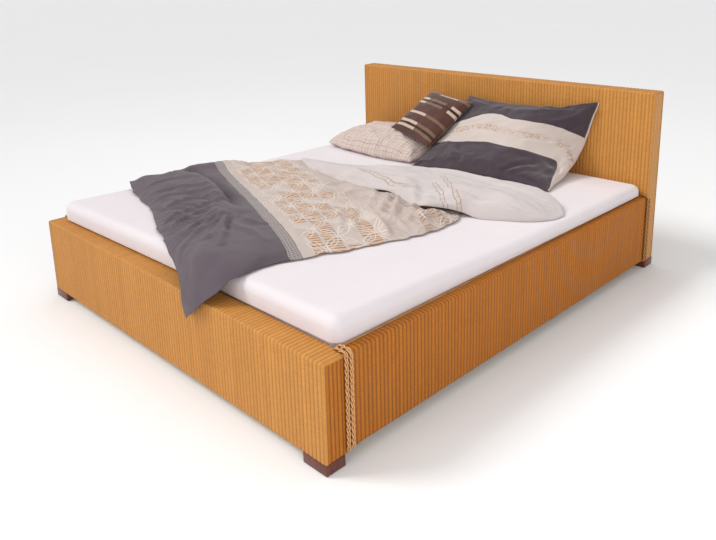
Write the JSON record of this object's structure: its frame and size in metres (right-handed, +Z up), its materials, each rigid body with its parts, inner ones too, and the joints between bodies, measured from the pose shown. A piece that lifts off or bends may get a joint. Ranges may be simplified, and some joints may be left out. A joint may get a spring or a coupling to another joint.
{
  "type": "wicker bed",
  "caption": "Low double bed with tall headboard, rails and footboard wrapped in ribbed wicker, block feet, slatted base, mattress, rumpled duvet, pillows and a throw cushion.",
  "frame": {"origin": "on the floor under the middle of the bed, at the bottom of the centre leg", "axes": "+X across the bed to the right as seen from the foot, +Y from the footboard to the headboard, +Z up"},
  "size_m": [1.916, 2.2788, 0.88],
  "materials": {
    "headboard_woven_cover": "woven paper cord in vertical ribs, satin",
    "headboard_front_panel": "plain plywood",
    "headboard_back_panel": "plain plywood",
    "headboard_post_left": "planed softwood",
    "headboard_post_right": "planed softwood",
    "headboard_top_rail": "planed softwood",
    "headboard_bottom_rail": "planed softwood",
    "footboard_woven_cover": "woven paper cord in vertical ribs, satin",
    "footboard_front_panel": "plain plywood",
    "footboard_back_panel": "plain plywood",
    "footboard_post_left": "planed softwood",
    "footboard_post_right": "planed softwood",
    "footboard_top_rail": "planed softwood",
    "footboard_bottom_rail": "planed softwood",
    "side_rail_cover_left": "woven paper cord in vertical ribs, satin",
    "side_rail_core_left": "planed softwood",
    "side_rail_edging_left": "flat cane strip, satin",
    "ledger_strip_left": "planed softwood",
    "side_rail_cover_right": "woven paper cord in vertical ribs, satin",
    "side_rail_core_right": "planed softwood",
    "side_rail_edging_right": "flat cane strip, satin",
    "ledger_strip_right": "planed softwood",
    "braid_footboard_left": "plaited paper cord, satin",
    "braid_rail_foot_end_left": "plaited paper cord, satin",
    "braid_rail_head_end_left": "plaited paper cord, satin",
    "braid_headboard_left": "plaited paper cord, satin",
    "braid_footboard_right": "plaited paper cord, satin",
    "braid_rail_foot_end_right": "plaited paper cord, satin",
    "braid_rail_head_end_right": "plaited paper cord, satin",
    "braid_headboard_right": "plaited paper cord, satin",
    "foot_front_left": "reddish brown stained hardwood, satin",
    "foot_front_right": "reddish brown stained hardwood, satin",
    "foot_head_left": "reddish brown stained hardwood, satin",
    "foot_head_right": "reddish brown stained hardwood, satin",
    "corner_bracket_head_left": "zinc plated steel",
    "corner_bracket_head_right": "zinc plated steel",
    "corner_bracket_foot_left": "zinc plated steel",
    "corner_bracket_foot_right": "zinc plated steel",
    "centre_beam": "planed softwood",
    "centre_leg": "planed softwood",
    "beam_hanger_head": "zinc plated steel",
    "beam_hanger_foot": "zinc plated steel",
    "slat_01": "planed softwood",
    "slat_02": "planed softwood",
    "slat_03": "planed softwood",
    "slat_04": "planed softwood",
    "slat_05": "planed softwood",
    "slat_06": "planed softwood",
    "slat_07": "planed softwood",
    "slat_08": "planed softwood",
    "slat_09": "planed softwood",
    "slat_10": "planed softwood",
    "slat_11": "planed softwood",
    "mattress": "woven ticking over foam",
    "fitted_sheet": "smooth white cotton jersey",
    "duvet": "matt cotton, grey end and cream patterned field",
    "pillow_left": "matt cotton, cream with fine lines",
    "pillow_right": "matt cotton, dark grey bands around a cream band",
    "cushion": "soft brown pile with cream dashes"
  },
  "bodies": {
    "bed_frame": {"headboard_woven_cover": "headboard_woven_cover", "headboard_front_panel": "headboard_front_panel", "headboard_back_panel": "headboard_back_panel", "headboard_post_left": "headboard_post_left", "headboard_post_right": "headboard_post_right", "headboard_top_rail": "headboard_top_rail", "headboard_bottom_rail": "headboard_bottom_rail", "footboard_woven_cover": "footboard_woven_cover", "footboard_front_panel": "footboard_front_panel", "footboard_back_panel": "footboard_back_panel", "footboard_post_left": "footboard_post_left", "footboard_post_right": "footboard_post_right", "footboard_top_rail": "footboard_top_rail", "footboard_bottom_rail": "footboard_bottom_rail", "side_rail_cover_left": "side_rail_cover_left", "side_rail_core_left": "side_rail_core_left", "side_rail_edging_left": "side_rail_edging_left", "ledger_strip_left": "ledger_strip_left", "side_rail_cover_right": "side_rail_cover_right", "side_rail_core_right": "side_rail_core_right", "side_rail_edging_right": "side_rail_edging_right", "ledger_strip_right": "ledger_strip_right", "braid_footboard_left": "braid_footboard_left", "braid_rail_foot_end_left": "braid_rail_foot_end_left", "braid_rail_head_end_left": "braid_rail_head_end_left", "braid_headboard_left": "braid_headboard_left", "braid_footboard_right": "braid_footboard_right", "braid_rail_foot_end_right": "braid_rail_foot_end_right", "braid_rail_head_end_right": "braid_rail_head_end_right", "braid_headboard_right": "braid_headboard_right", "foot_front_left": "foot_front_left", "foot_front_right": "foot_front_right", "foot_head_left": "foot_head_left", "foot_head_right": "foot_head_right", "corner_bracket_head_left": "corner_bracket_head_left", "corner_bracket_head_right": "corner_bracket_head_right", "corner_bracket_foot_left": "corner_bracket_foot_left", "corner_bracket_foot_right": "corner_bracket_foot_right", "centre_beam": "centre_beam", "centre_leg": "centre_leg", "beam_hanger_head": "beam_hanger_head", "beam_hanger_foot": "beam_hanger_foot", "slat_01": "slat_01", "slat_02": "slat_02", "slat_03": "slat_03", "slat_04": "slat_04", "slat_05": "slat_05", "slat_06": "slat_06", "slat_07": "slat_07", "slat_08": "slat_08", "slat_09": "slat_09", "slat_10": "slat_10", "slat_11": "slat_11"},
    "mattress": {"mattress": "mattress", "fitted_sheet": "fitted_sheet"},
    "duvet": {"duvet": "duvet"},
    "pillow_left": {"pillow_left": "pillow_left"},
    "pillow_right": {"pillow_right": "pillow_right"},
    "cushion": {"cushion": "cushion"}
  },
  "joints": [
    {"name": "mattress_lift", "type": "slide", "parent": "bed_frame", "child": "mattress", "axis": [0, 0, 1], "range_m": [0, 0.7]},
    {"name": "duvet_lift", "type": "slide", "parent": "mattress", "child": "duvet", "axis": [0, 0, 1], "range_m": [0, 0.7]},
    {"name": "pillow_left_lift", "type": "slide", "parent": "mattress", "child": "pillow_left", "axis": [0, 0, 1], "range_m": [0, 0.5]},
    {"name": "pillow_right_lift", "type": "slide", "parent": "mattress", "child": "pillow_right", "axis": [0.866, 0, 0.5], "range_m": [0, 1]},
    {"name": "cushion_lift", "type": "slide", "parent": "pillow_left", "child": "cushion", "axis": [0, 0, 1], "range_m": [0, 0.5]}
  ]
}
